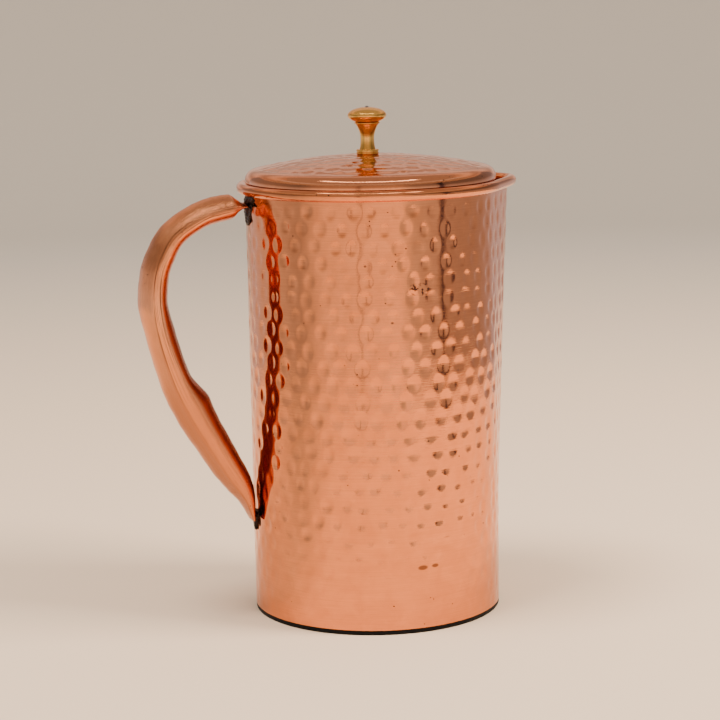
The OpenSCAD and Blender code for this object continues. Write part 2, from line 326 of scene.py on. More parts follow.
# Where the inner edges bulge out or sit back: station, width along the handle and size
EDGE_BULGES = [(9.95, 0.42, 1.2), (11.95, 0.28, 0.8)]
EDGE_HOLLOWS = [(11.1, 0.55, 1.3), (8.9, 0.5, 0.5)]

# Extra half depth where the handle isn't pinched
FULL_EXTRA = 0.35


# Half of the handle's section from the seam, through the inner crease and the outer ridge, to
# the middle of its back: share of the depth, share of the width and points up to the next
HANDLE_HALF = [
    (-1.00, 0.04, 4), (-0.96, 0.42, 4), (-0.74, 0.80, 3), (-0.44, 0.98, 2), (-0.12, 1.00, 3),
    (0.16, 0.93, 4), (0.55, 0.70, 3), (0.86, 0.38, 3),
]
HANDLE_BACK = (1.0, 0.0)
HALF_COUNT = sum(corner[2] for corner in HANDLE_HALF)


def handle_half(lower):
    """Points of half a section; the ridge moves out towards the back on the lower part."""
    corners = [(d + 0.22 * lower * bump_at(d, 0.16, 0.3), w) for d, w, _ in HANDLE_HALF]
    corners.append(HANDLE_BACK)
    half = []
    for (_, _, count), start, end in zip(HANDLE_HALF, corners, corners[1:]):
        half += straight(start, end, count)
    return half + [HANDLE_BACK]


def handle_section(u, inset):
    """One section's points from seam edge to seam edge, the face being inset by a depth."""
    shares = handle_station(u)
    step = handle_middle(min(u + 0.2, LAST_STATION)) - handle_middle(max(u - 0.2, 0))
    outward = Vector((step.z, 0, -step.x)).normalized()
    depth = max(0, shares[2])
    full = min(1, depth * 2)
    half_d = PINCH_HALF + (HANDLE_D / 2 - PINCH_HALF) * depth + FULL_EXTRA * full - inset
    half_w = HANDLE_W / 2 * shares[3] - inset
    bulge, hollow = (sum(size * bump_at(u, middle, width) for middle, width, size in bumps)
                     for bumps in (EDGE_BULGES, EDGE_HOLLOWS))
    bulge *= 0.8 + 0.2 * math.sin(3 * u)
    wobble = 0.12 * math.sin(5.1 * u) + 0.08 * math.sin(11.3 * u + 1)
    half = []
    for d, w in handle_half(smooth_step(8.0, 11.5, u)):
        inner = smooth_step(-0.2, -1, d)
        push = hollow - bulge * (1 - w * 0.5)
        half.append((d * half_d + push * inner * full + wobble * depth * (1 - w), w * half_w))
    flat = [Vector((d, w)) for d, w in half] + [Vector((d, -w)) for d, w in reversed(half[:-1])]
    softened = [(a + 2 * b + c) / 4 for a, b, c in zip(flat, flat[1:], flat[2:])]
    middle = handle_middle(u)
    return [Vector((0, w, 0)) + middle + outward * d for d, w in [flat[0], *softened, flat[-1]]]


def next_ring(bm, loop, verts):
    """Extrudes a closed loop of edges; gives the new loop, and its points in the same order."""
    made = bmesh.ops.extrude_edge_only(bm, edges=loop)["geom"]
    fresh = {v for v in made if isinstance(v, bmesh.types.BMVert)}
    new_loop = [e for e in made if isinstance(e, bmesh.types.BMEdge) and set(e.verts) <= fresh]
    reached = [[edge.other_vert(vert) for edge in vert.link_edges] for vert in verts]
    return new_loop, [next(vert for vert in ends if vert in fresh) for ends in reached]


def make_handle(material):
    """Extrudes the folded section ring by ring from the upper end to the lower tip."""
    rings = 170
    count = 2 * HALF_COUNT + 1
    bm = bmesh.new()
    places = {}
    for ring in range(rings + 1):
        u = LAST_STATION * ring / rings
        points = handle_section(u, 0) + handle_section(u, SHEET)[::-1]
        if ring == 0:
            verts = [bm.verts.new(point) for point in points]
            loop = [bm.edges.new(pair) for pair in zip(verts, verts[1:] + verts[:1])]
        else:
            loop, verts = next_ring(bm, loop, verts)
            for vert, point in zip(verts, points):
                vert.co = point
        for i, vert in enumerate(verts):
            around = i if i < count else 2 * count - 1 - i
            places[vert] = (ring / rings, around / (count - 1))
        if ring in (0, rings):
            for i in range(count - 1):
                bm.faces.new((verts[i], verts[i + 1], verts[-2 - i], verts[-1 - i]))
    uv = bm.loops.layers.uv.new("run")
    for face in bm.faces:
        for corner in face.loops:
            corner[uv].uv = places[corner.vert]
    bmesh.ops.recalc_face_normals(bm, faces=bm.faces)
    finish_piece("handle", bm, material, "jug", ["handle_shell"], sharp=60)


def make_braze(name, node, material, z, half_w, up, down, thick, seed):
    """A dark patch of braze on the wall, widest near its top, that runs down to a point."""
    draw = random.Random(seed)
    bm = bmesh.new()
    bmesh.ops.create_uvsphere(bm, u_segments=56, v_segments=40, radius=1)
    waves = [(draw.randint(2, 9), draw.uniform(0, 6), draw.uniform(0.02, 0.05)) for _ in range(6)]
    for vert in bm.verts:
        x, y, up_share = vert.co
        angle = math.atan2(up_share, y)
        swell = 1 + sum(size * math.sin(turns * angle + start) for turns, start, size in waves) / 2
        ring = math.hypot(x, y)
        square = (1 - abs(up_share) ** 5) ** 0.5 / ring if ring > 0.02 else 0
        taper = 0.24 + 0.76 * ((1 + up_share) / 2) ** 1.3
        across = y * square * half_w * swell * taper
        height = z + up_share * (up if up_share > 0 else down) * (0.6 + 0.4 * swell)
        rough = 0.16 * math.sin(2.3 * across + 1.1 * height) + 0.12 * math.sin(3.7 * height - 1.9 * across)
        face = body_r + FIT
        if x < 0:
            face += (thick + rough) * (-x) ** 0.6 * (0.35 + 0.65 * math.exp(-(across / 3.2) ** 2))
        turn = math.pi - across / body_r
        vert.co = (face * math.cos(turn), face * math.sin(turn), height)
    bmesh.ops.remove_doubles(bm, verts=bm.verts, dist=1e-4)
    bmesh.ops.recalc_face_normals(bm, faces=bm.faces)
    finish_piece(name, bm, material, "jug", [node])


# The lid

def lid_shape():
    """Top of the band, the shoulder's centre, the dome's radius and the angle where it ends."""
    band_top = lid_seat + LID_BAND
    rise = lid_top - band_top
    center_r = lid_r - SHOULDER_R
    dome_r = (center_r ** 2 + rise ** 2 - SHOULDER_R ** 2) / (2 * (rise - SHOULDER_R))
    edge = math.degrees(math.asin(center_r / (dome_r - SHOULDER_R)))
    return band_top, center_r, dome_r, edge


# Nicks in the lid's front: distance from the axis, degrees right of the front, half length
NICK_DEPTH = 0.4
NICKS = [(24.7, -14, 1.7), (31, -15, 1.5), (38, -1.5, 2.2), (43, 17.5, 1.8)]


def nick_depth(x, y):
    found = 0
    for radius, turn, long_half in NICKS:
        t = math.radians(FRONT_TURN + turn)
        aside = (y * math.cos(t) - x * math.sin(t)) / long_half
        along = (x * math.cos(t) + y * math.sin(t) - radius) / (long_half * 0.7)
        found = max(found, NICK_DEPTH * (1 - aside ** 2 - along ** 2))
    return found


def make_lid(material):
    """A hammered dome with a rounded shoulder and a short band; its hole follows the knob."""
    band_top, center_r, dome_r, edge = lid_shape()
    start = math.degrees(math.asin(BORE_R / dome_r))
    low_z = lid_top - dome_r
    profile = arc(0, low_z, dome_r, start, edge, 62)[:-1]
    profile += arc(center_r, band_top, SHOULDER_R, edge, 90, 14)
    profile += [(lid_r, lid_seat + 0.25), (lid_r - 0.2, lid_seat), (lid_r - SHEET, lid_seat)]
    profile += arc(center_r, band_top, SHOULDER_R - SHEET, 90, edge, 8)[:-1]
    under = math.degrees(math.asin(BORE_R / (dome_r - SHEET)))
    profile += arc(0, low_z, dome_r - SHEET, edge, under, 16)
    bm = spin_profile(profile, 300)
    rows = []
    for ring in range(1, 8):
        ring_r = 6.2 * ring + 2
        rows.append((ring_r, math.tau * ring_r, max(5, round(ring_r * math.tau / 6.6))))
    marks = HammerMarks(seed=5, rows=rows, size=(8.4, 7.4), depth=0.30, spread=0.24)
    for vert in bm.verts:
        x, y, z = vert.co
        radius = math.hypot(x, y)
        outside = z > low_z + math.sqrt(max(0, (dome_r - SHEET / 2) ** 2 - radius ** 2))
        if outside and radius < center_r:
            turn = math.atan2(y, x) / math.tau + 0.5
            fade = smooth_step(6, 9, radius) * (1 - smooth_step(center_r - 3, center_r, radius))
            vert.co.z -= fade * marks.depth_at(turn, radius) + nick_depth(x, y)
        vert.co.x += knob_x * (1 - smooth_step(BORE_R + 0.5, 9, radius))
    finish_piece("lid", bm, material, "lid", ["lid_dome"])


def make_collar(material):
    """A plain ring with a groove rolled round it and a rounded lower edge."""
    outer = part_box("lid_collar")[1].x / MM
    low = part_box("lid_collar")[0].z / MM
    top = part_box("lid_collar")[1].z / MM
    inner = outer - SHEET
    soft = SHEET / 2
    groove_z, groove_half, groove = low + 2.7, 0.5, 0.25
    profile = arc(outer - soft, low + soft, soft, 90, 270, 8)
    profile += [(inner, groove_z - groove_half), (inner - groove, groove_z), (inner, groove_z + groove_half)]
    profile += [(inner, top), (outer, top)]
    profile += [(outer, groove_z + groove_half), (outer - groove, groove_z), (outer, groove_z - groove_half)]
    bm = spin_profile(profile, 240)
    finish_piece("collar", bm, material, "lid", ["lid_collar"], sharp=50)


def make_knob(material):
    """Turned brass: a grooved flange, a waisted neck, a small ring and a mushroom head."""
    head_r, head_h, head_start, head_turn, head_points = 8.1, 3.4, -60, 146, 32
    ring_r, ring_edge, neck_r, waist, neck_points = 5.4, 0.3, 2.85, 0.4, 24
    flange_r, flange_h, soft, groove = 4.7, 2.1, 0.4, 0.22
    low = lid_top + flange_h
    ring_z = knob_top - 6.9
    profile = [(BORE_R, lid_top), (flange_r - soft, lid_top)]
    profile += arc(flange_r - soft, lid_top + soft, soft, 180, 90, 4)[1:]
    profile += [(flange_r, lid_top + 0.85), (flange_r - groove, lid_top + 1.0),
                (flange_r - groove, lid_top + 1.15), (flange_r, lid_top + 1.3)]
    profile += arc(flange_r - ring_edge, low - ring_edge, ring_edge, 90, 0, 3)
    flare = ring_r - 0.6 - neck_r
    neck_h = ring_z - low - 0.2
    for i in range(neck_points + 1):
        t = i / neck_points
        wide = 0.28 * (1 - t / waist) ** 2 if t < waist else ((t - waist) / (1 - waist)) ** 2
        profile.append((neck_r + flare * wide, low + neck_h * t))
    profile += arc(ring_r - ring_edge, ring_z + ring_edge, ring_edge, 180, 0, 6)
    profile += [(ring_r - 0.7, ring_z + 0.75)]
    for i in range(head_points + 1):
        a = math.radians(head_start + head_turn * i / head_points)
        profile.append((head_r * math.cos(a), knob_top - head_h + head_h * math.sin(a)))
    profile += [(BORE_R, knob_top - 0.2)]
    bm = spin_profile(profile, 96)
    bmesh.ops.translate(bm, vec=(knob_x, 0, 0), verts=bm.verts)
    finish_piece("lid_knob", bm, material, "lid", ["knob"], sharp=42)


def make_screw(material):
    """A round-headed screw that goes up through the lid and shows on top of the knob."""
    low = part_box("knob_screw")[0].z / MM
    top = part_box("knob_screw")[1].z / MM
    head_r, head_h, shank_r, tip_r, pitch, thread = 3, 2, 1.5, 1.0, 0.5, 0.22
    profile = [(0, low + 0.1)] + arc(head_r - 0.8, low + 0.9, 0.9, 180, 100, 8)
    profile += [(head_r, low + 1.2), (head_r, low + head_h), (shank_r, low + head_h)]
    z = low + head_h + 0.3
    while z < top - 1.2:
        profile += [(shank_r, z), (shank_r, z + 0.1), (shank_r - thread, z + pitch / 2)]
        z += pitch
    profile += arc(0, top - tip_r, tip_r, 90, 0, 6)
    bm = spin_profile(profile, 48, closed=False)
    bmesh.ops.translate(bm, vec=(knob_x, 0, 0), verts=bm.verts)
    finish_piece("screw", bm, material, "lid", ["knob_screw"])


def make_washer(material):
    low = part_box("knob_washer")[0].z / MM
    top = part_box("knob_washer")[1].z / MM
    outer = (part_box("knob_washer")[1].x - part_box("knob_washer")[0].x) / 2 / MM
    soft = 0.2
    profile = arc(outer - soft, low + soft, soft, 180, 90, 3)
    profile += arc(outer - soft, top - soft, soft, 90, 0, 3)
    profile += [(BORE_R + 0.1, top), (BORE_R, top - 0.1), (BORE_R, low + 0.1), (BORE_R + 0.1, low)]
    bm = spin_profile(profile, 72)
    bmesh.ops.translate(bm, vec=(knob_x, 0, 0), verts=bm.verts)
    finish_piece("washer", bm, material, "lid", ["knob_washer"])


# Finishes

def new_group(name, inputs, outputs):
    """An empty node group; inputs and outputs are (name, kind, value) and (name, kind)."""
    group = bpy.data.node_groups.new(name, "ShaderNodeTree")
    for title, kind, value in inputs:
        socket = group.interface.new_socket(title, in_out="INPUT", socket_type="NodeSocket" + kind)
        if value is not None:
            socket.default_value = value
    for title, kind in outputs:
        group.interface.new_socket(title, in_out="OUTPUT", socket_type="NodeSocket" + kind)
    return group, group.nodes.new("NodeGroupInput"), group.nodes.new("NodeGroupOutput")


def add_node(tree, kind, values=None, **links):
    """Adds a node, sets the values of its inputs, and links others of them."""
    made = tree.nodes.new("ShaderNode" + kind)
    for key, value in (values or {}).items():
        made.inputs[key].default_value = value
    for key, source in links.items():
        tree.links.new(source, made.inputs[key])
    return made


def math_node(tree, operation, *parts, clamp=False):
    """Works out one step; each part is a number or another node's output."""
    made = tree.nodes.new("ShaderNodeMath")
    made.operation = operation
    made.use_clamp = clamp
    for i, part in enumerate(parts):
        if isinstance(part, (int, float)):
            made.inputs[i].default_value = part
        else:
            tree.links.new(part, made.inputs[i])
    return made.outputs[0]


def mix_colors(tree, factor, a, b):
    """Gives the colour a where the factor is 0 and b where it is 1."""
    made = tree.nodes.new("ShaderNodeMix")
    made.data_type = "RGBA"
    for socket, part in zip((made.inputs[0], made.inputs[6], made.inputs[7]), (factor, a, b)):
        if isinstance(part, (int, float, tuple)):
            socket.default_value = part
        else:
            tree.links.new(part, socket)
    return made.outputs[2]


def brushed_group():
    """Fine lines left by the polishing wheel; the vector given is stretched along them."""
    inputs = [("Vector", "Vector", None), ("Contrast", "Float", 1.0)]
    group, given, out = new_group("brushed_lines", inputs, [("Lines", "Float")])
    grain = {"Scale": 1.0, "Detail": 3.0, "Roughness": 0.7}
    fine = add_node(group, "TexNoise", grain, Vector=given.outputs[0])
    centred = math_node(group, "SUBTRACT", fine.outputs[0], 0.5)
    scaled = math_node(group, "MULTIPLY", centred, given.outputs[1])
    group.links.new(math_node(group, "ADD", scaled, 0.5, clamp=True), out.inputs[0])
    return group


def tarnish_group():
    """Blotches of handling and tarnish, and small dark specks where they are strong."""
    inputs = [("Vector", "Vector", None), ("Size", "Float", 30.0), ("Speck Size", "Float", 700.0),
              ("Specks", "Float", 0.3)]
    group, given, out = new_group("tarnish", inputs, [("Blotch", "Float"), ("Speck", "Float")])
    speck_reach, strong = 0.22, 0.56
    blotch = add_node(group, "TexNoise", {"Detail": 5.0, "Roughness": 0.6, "Distortion": 0.6},
                      Vector=given.outputs[0], Scale=given.outputs[1])
    soft = add_node(group, "MapRange", {"From Min": 0.35, "From Max": 0.68}, Value=blotch.outputs[0])
    cells = add_node(group, "TexVoronoi", Vector=given.outputs[0], Scale=given.outputs[2])
    near = math_node(group, "LESS_THAN", cells.outputs["Distance"], speck_reach)
    chosen = add_node(group, "SeparateColor", Color=cells.outputs["Color"])
    few = math_node(group, "LESS_THAN", chosen.outputs[0], given.outputs[3])
    patch = math_node(group, "GREATER_THAN", blotch.outputs[0], strong)
    speck = math_node(group, "MULTIPLY", math_node(group, "MULTIPLY", near, few), patch)
    group.links.new(soft.outputs[0], out.inputs[0])
    group.links.new(speck, out.inputs[1])
    return group


GROUPS = {}


def place_group(tree, name, values, vector):
    """Places a shared group, which is built the first time that it is asked for."""
    makers = {"brushed_lines": brushed_group, "tarnish": tarnish_group}
    if name not in GROUPS:
        GROUPS[name] = makers[name]()
    made = tree.nodes.new("ShaderNodeGroup")
    made.node_tree = GROUPS[name]
    for key, value in values.items():
        made.inputs[key].default_value = value
    tree.links.new(vector, made.inputs["Vector"])
    return made


def new_material(name, metallic=1.0):
    material = bpy.data.materials.new(name)
    material.use_nodes = True
    tree = material.node_tree
    shader = tree.nodes["Principled BSDF"]
    shader.inputs["Metallic"].default_value = metallic
    place = tree.nodes.new("ShaderNodeTexCoord")
    return material, tree, shader, place


# A speck's colour and how much rougher it is, the same for a blotch, and a line's shade
SPECK_COLOR = (0.06, 0.03, 0.02, 1)
SPECK_ROUGH = 0.3
BLOTCH_ROUGH = 0.03
LINE_SHADE = 0.62


def metal(name, clean, dull, rough, stretch, coordinates="Object", bump=0.00002, contrast=1.0,
          lined=0.25, blotch_size=30.0, specks=0.1, speck_size=700.0):
    """A polished or brushed metal. clean and dull are its colours, rough is its least and most
    roughness, and stretch is how fine its lines are along each axis."""
    material, tree, shader, place = new_material(name)
    lines_map = add_node(tree, "Mapping", {"Scale": stretch}, Vector=place.outputs[coordinates])
    brushed = place_group(tree, "brushed_lines", {"Contrast": contrast}, lines_map.outputs[0])
    lines = brushed.outputs["Lines"]
    tarnish = place_group(tree, "tarnish", {"Size": blotch_size, "Specks": specks, "Speck Size": speck_size},
                          place.outputs["Object"])
    blotch, speck = tarnish.outputs["Blotch"], tarnish.outputs["Speck"]
    worn = mix_colors(tree, blotch, (*clean, 1), (*dull, 1))
    line_color = (*(LINE_SHADE * part for part in clean), 1)
    lined_color = mix_colors(tree, math_node(tree, "MULTIPLY", lines, lined), worn, line_color)
    spotted = mix_colors(tree, speck, lined_color, SPECK_COLOR)
    tree.links.new(spotted, shader.inputs["Base Color"])
    span = math_node(tree, "MULTIPLY_ADD", lines, rough[1] - rough[0], rough[0])
    blotchy = math_node(tree, "MULTIPLY_ADD", blotch, BLOTCH_ROUGH, span)
    tree.links.new(math_node(tree, "MULTIPLY_ADD", speck, SPECK_ROUGH, blotchy), shader.inputs["Roughness"])
    relief = add_node(tree, "Bump", {"Strength": 1.0, "Distance": bump}, Height=lines)
    tree.links.new(relief.outputs[0], shader.inputs["Normal"])
    return material


def cover(material, mask, color):
    """Lays a colour over a material's own where a mask is 1."""
    tree = material.node_tree
    base = tree.nodes["Principled BSDF"].inputs["Base Color"]
    tree.links.new(mix_colors(tree, mask, base.links[0].from_socket, color), base)


def front_parts(tree):
    """Object coordinates turned so that the front lies along X, and the angle right of it."""
    place = tree.nodes.new("ShaderNodeTexCoord")
    turned = add_node(tree, "Mapping", {"Rotation": (0, 0, -math.radians(FRONT_TURN))},
                      Vector=place.outputs["Object"])
    parts = add_node(tree, "SeparateXYZ", Vector=turned.outputs[0])
    return parts, math_node(tree, "ARCTAN2", parts.outputs[1], parts.outputs[0])


# Marks on the wall's front: degrees right of the front, height, half width and half height
WALL_PITS = [(20.9, 27.4, 2.5, 1.15), (26.9, 27.7, 1.8, 0.9), (8.5, 129, 0.7, 0.5), (-3, 152, 0.6, 0.5)]
SPECK_PATCH = (21.0, 142.0, 6.0, 2.8)
# Dark colour of the wall's specks and pits and the handle's scratches, also used for the painted shade along
# the handle's folds
GRIME_AND_FOLD_SHADE = (0.10, 0.035, 0.02, 1)


def wall_spot(tree, parts, angle, spot):
    """1 inside a small ellipse on the wall, soft at its edge."""
    turn, height, half_w, half_h = spot
    aside = math_node(tree, "MULTIPLY_ADD", angle, body_r / half_w, -math.radians(turn) * body_r / half_w)
    up = math_node(tree, "MULTIPLY_ADD", parts.outputs[2], 1 / MM / half_h, -height / half_h)
    squares = [math_node(tree, "POWER", side, 2.0) for side in (aside, up)]
    far = math_node(tree, "ADD", *squares)
    return add_node(tree, "MapRange", {"From Min": 1.0, "From Max": 0.4}, Value=far).outputs[0]


def mark_wall(material):
    """Adds a patch of dark specks and a few pits to the wall's front."""
    tree = material.node_tree
    parts, angle = front_parts(tree)
    place = tree.nodes.new("ShaderNodeTexCoord")
    grain = add_node(tree, "TexNoise", {"Scale": 480.0, "Detail": 3.0}, Vector=place.outputs["Object"])
    dark = add_node(tree, "MapRange", {"From Min": 0.51, "From Max": 0.56}, Value=grain.outputs[0])
    mark = math_node(tree, "MULTIPLY", dark.outputs[0], wall_spot(tree, parts, angle, SPECK_PATCH))
    for spot in WALL_PITS:
        pit = math_node(tree, "MULTIPLY", wall_spot(tree, parts, angle, spot), 0.8)
        mark = math_node(tree, "MAXIMUM", mark, pit)
    cover(material, mark, GRIME_AND_FOLD_SHADE)


def satin_and_brighten_inside(material):
    """Makes the faces marked inside a rougher satin copper, as the polishing wheel doesn't reach them,
    painted paler to stand in for the light that hardly reaches them.
    """
    tree = material.node_tree
    mark = tree.nodes.new("ShaderNodeAttribute")
    mark.attribute_name = "inside"
    # Painted light: the paler copper makes up for the little light that gets into the jug
    cover(material, mark.outputs["Fac"], (0.95, 0.52, 0.32, 1))
    rough = tree.nodes["Principled BSDF"].inputs["Roughness"]
    rougher = math_node(tree, "MULTIPLY_ADD", mark.outputs["Fac"], 0.38, rough.links[0].from_socket)
    tree.links.new(rougher, rough)


def make_hammered_copper():
    """The wall's copper, with fine lines round it."""
    material = metal("hammered_copper", clean=(0.865, 0.295, 0.113), dull=(0.757, 0.249, 0.093),
                     rough=(0.02, 0.08), stretch=(55, 55, 2500), bump=0.00001, contrast=2.6,
                     lined=0.36, blotch_size=110.0, specks=0.05)
    mark_wall(material)
    satin_and_brighten_inside(material)
    return material


def near_line(tree, value, middle, width):
    """1 on a line where a value is at the middle, and 0 past the width on each side."""
    off = math_node(tree, "ABSOLUTE", math_node(tree, "SUBTRACT", value, middle))
    return add_node(tree, "MapRange", {"From Min": width, "From Max": width * 0.4}, Value=off).outputs[0]


def age_handle(material):
    """Scores lines between the handle's two folds, paints shade along the folds themselves, makes its lower
    part darker, and darkens its seam side. The UV map runs along the handle and across the sheet."""
    tree = material.node_tree
    place = tree.nodes.new("ShaderNodeTexCoord")
    across = add_node(tree, "SeparateXYZ", Vector=place.outputs["UV"]).outputs[1]
    aside = math_node(tree, "ABSOLUTE", math_node(tree, "SUBTRACT", across, 0.5))
    scored = add_node(tree, "Mapping", {"Scale": (9, 130, 1)}, Vector=place.outputs["UV"])
    grain = {"Scale": 1.0, "Detail": 4.0, "Roughness": 0.7}
    lines = add_node(tree, "TexNoise", grain, Vector=scored.outputs[0])
    deep = add_node(tree, "MapRange", {"From Min": 0.53, "From Max": 0.61}, Value=lines.outputs[0])
    broken = add_node(tree, "MapRange", {"From Min": 0.40, "From Max": 0.52}, Value=lines.outputs[0])
    between = math_node(tree, "MULTIPLY", near_line(tree, aside, 0.235, 0.075), 0.75)
    scratch = math_node(tree, "MULTIPLY", deep.outputs[0], between)
    # Painted shade: a dark line along the ridge and another along the crease, broken here and there
    ridge, crease = near_line(tree, aside, 0.196, 0.009), near_line(tree, aside, 0.266, 0.008)
    folds = math_node(tree, "MAXIMUM", ridge, crease)
    fold_shade = math_node(tree, "MULTIPLY", folds, math_node(tree, "MULTIPLY", broken.outputs[0], 0.95))
    cover(material, math_node(tree, "MAXIMUM", scratch, fold_shade), GRIME_AND_FOLD_SHADE)
    # Darker towards the handle's lower end
    height = add_node(tree, "SeparateXYZ", Vector=place.outputs["Object"]).outputs[2]
    low = add_node(tree, "MapRange", {"From Min": 0.13, "From Max": 0.09}, Value=height)
    cover(material, math_node(tree, "MULTIPLY", low.outputs[0], 0.8), (0.56, 0.185, 0.075, 1))
    inside = add_node(tree, "MapRange", {"From Min": 0.275, "From Max": 0.315}, Value=aside)
    cover(material, inside.outputs[0], (0.42, 0.09, 0.025, 1))


def make_handle_copper():
    """The handle's copper, with lines along it, marks of use and painted shade along its folds."""
    material = metal("handle_copper", clean=(0.98, 0.38, 0.165), dull=(0.77, 0.27, 0.11),
                     rough=(0.10, 0.24), stretch=(7, 170, 1), coordinates="UV", bump=0.00004,
                     contrast=2.4, lined=0.4, blotch_size=40.0, specks=0.4, speck_size=900.0)
    age_handle(material)
    return material


def make_lid_copper():
    return metal("lid_copper", clean=(0.82, 0.31, 0.14), dull=(0.74, 0.27, 0.12),
                 rough=(0.05, 0.12), stretch=(340, 340, 340), contrast=2.0)


def make_plain_copper():
    """Satin copper for the sheet that isn't hammered."""
    return metal("plain_copper", clean=(0.92, 0.42, 0.22), dull=(0.84, 0.36, 0.18),
                 rough=(0.30, 0.42), stretch=(40, 40, 1800))


def make_turned_brass():
    return metal("turned_brass", clean=(0.97, 0.53, 0.12), dull=(0.86, 0.42, 0.08),
                 rough=(0.14, 0.26), stretch=(60, 60, 3000))


def make_washer_brass():
    return metal("washer_brass", clean=(0.82, 0.62, 0.30), dull=(0.70, 0.50, 0.22),
                 rough=(0.25, 0.4), stretch=(900, 900, 900))


def make_screw_steel():
    return metal("screw_steel", clean=(0.20, 0.18, 0.17), dull=(0.10, 0.09, 0.09),
                 rough=(0.3, 0.5), stretch=(900, 900, 900))


def make_rim_steel():
    return metal("rim_steel", clean=(0.55, 0.55, 0.54), dull=(0.40, 0.39, 0.37),
                 rough=(0.3, 0.45), stretch=(600, 600, 600))


def make_tin_solder():
    return metal("tin_solder", clean=(0.70, 0.70, 0.68), dull=(0.58, 0.57, 0.54),
                 rough=(0.3, 0.5), stretch=(500, 500, 500))


def make_dark_braze():
    """Braze coloured near black, and lumpy."""
    return metal("burnt_braze", clean=(0.05, 0.035, 0.03), dull=(0.012, 0.01, 0.01),
                 rough=(0.15, 0.4), stretch=(700, 700, 700), bump=0.0004)


def make_rubber_and_contact_shade():
    material, tree, shader, place = new_material("black_rubber", metallic=0.0)
    shader.inputs["Specular IOR Level"].default_value = 0.12
    grain = add_node(tree, "TexNoise", {"Scale": 900.0, "Detail": 4.0}, Vector=place.outputs["Object"])
    dust = add_node(tree, "TexNoise", {"Scale": 60.0, "Detail": 3.0}, Vector=place.outputs["Object"])
    # Black rubber, painted darker than rubber is so that it also stands for the contact shadow under the
    # foot
    color = mix_colors(tree, dust.outputs[0], (0.0015, 0.0015, 0.002, 1), (0.006, 0.0055, 0.005, 1))
    tree.links.new(color, shader.inputs["Base Color"])
    tree.links.new(math_node(tree, "MULTIPLY_ADD", grain.outputs[0], 0.25, 0.4), shader.inputs["Roughness"])
    relief = add_node(tree, "Bump", {"Strength": 1.0, "Distance": 0.00005}, Height=grain.outputs[0])
    tree.links.new(relief.outputs[0], shader.inputs["Normal"])
    return material


# The setting: a pale floor, soft lights and the cards that the copper reflects

def flat_material(name, color, strength=None):
    """A matt colour, or a glow of that colour where a strength is given."""
    material = bpy.data.materials.new(name)
    material.use_nodes = True
    tree = material.node_tree
    shader = tree.nodes["Principled BSDF"]
    shader.inputs["Base Color"].default_value = (*color, 1)
    shader.inputs["Roughness"].default_value = 0.9
    shader.inputs["Specular IOR Level"].default_value = 0.1
    if strength is not None:
        shader.inputs["Base Color"].default_value = (0, 0, 0, 1)
        shader.inputs["Emission Color"].default_value = (*color, 1)
        shader.inputs["Emission Strength"].default_value = strength
    return material


def stage_object(name, bm, material, reflections_only=True):
    """Makes a stage piece; a card shows in reflections and nowhere else."""
    for face in bm.faces:
        face.smooth = True
    mesh = bpy.data.meshes.new(name)
    bm.to_mesh(mesh)
    bm.free()
    mesh.materials.append(material)
    made = bpy.data.objects.new(name, mesh)
    bpy.context.scene.collection.objects.link(made)
    if reflections_only:
        made.visible_camera = False
        made.visible_diffuse = False
        made.visible_shadow = False
        made.visible_transmission = False


def curved_card(start, end, low, high):
    """A strip round the axis, from one angle right of the front to another; low and high are
    its edges as (radius, height)."""
    bm = bmesh.new()
    count = max(8, int((end - start) / 2))
    turns = [math.radians(FRONT_TURN + start + (end - start) * i / count) for i in range(count + 1)]
    points = [bm.verts.new((low[0] * math.cos(t), low[0] * math.sin(t), 0)) for t in turns]
    edges = [bm.edges.new(pair) for pair in zip(points, points[1:])]
    made = bmesh.ops.extrude_edge_only(bm, edges=edges)["geom"]
    far = [v for v in made if isinstance(v, bmesh.types.BMVert)]
    grown = high[0] / low[0]
    bmesh.ops.scale(bm, vec=(grown, grown, 1), verts=far)
    bmesh.ops.translate(bm, vec=(0, 0, high[1] - low[1]), verts=far)
    bmesh.ops.translate(bm, vec=(0, 0, low[1]), verts=bm.verts)
    return bm


def distance_out(tree, parts):
    """Distance from the axis."""
    squares = [math_node(tree, "POWER", parts.outputs[i], 2.0) for i in range(2)]
    return math_node(tree, "SQRT", math_node(tree, "ADD", *squares))


def ramp_color(tree, value, stops):
    """Colours along a value; stops are (value, colour)."""
    low, high = stops[0][0], stops[-1][0]
    share = add_node(tree, "MapRange", {"From Min": low, "From Max": high}, Value=value)
    ramp = add_node(tree, "ValToRGB", Fac=share.outputs[0])
    elements = ramp.color_ramp.elements
    for index, (at, color) in enumerate(stops):
        stop = elements[index] if index < 2 else elements.new(1)
        stop.position = (at - low) / (high - low)
        stop.color = (*color, 1)
    return ramp.outputs[0]


# The floor's colour near the jug and far from it
FLOOR_NEAR = (0.705, 0.568, 0.442)
FLOOR_FAR = (0.60, 0.54, 0.475)


def make_floor():
    """A pale floor that curves up into a wall all round, so that no edge shows."""
    level_r, flat_r, bend_r, high = 0.8, 1.5, 0.9, 2.0
    profile = [(0, 0), (level_r, 0)]
    profile += arc(flat_r, bend_r, bend_r, 180, 90, 24)
    profile += [(flat_r + bend_r, high)]
    bm = spin_profile(profile, 96, closed=False)
    bmesh.ops.reverse_faces(bm, faces=bm.faces)
    material = flat_material("pale_floor", FLOOR_NEAR)
    tree = material.node_tree
    parts, _ = front_parts(tree)
    out = add_node(tree, "MapRange", {"From Min": 0.5, "From Max": 1.3}, Value=distance_out(tree, parts))
    color = mix_colors(tree, out.outputs[0], (*FLOOR_NEAR, 1), (*FLOOR_FAR, 1))
    tree.links.new(color, tree.nodes["Principled BSDF"].inputs["Base Color"])
    stage_object("floor", bm, material, reflections_only=False)


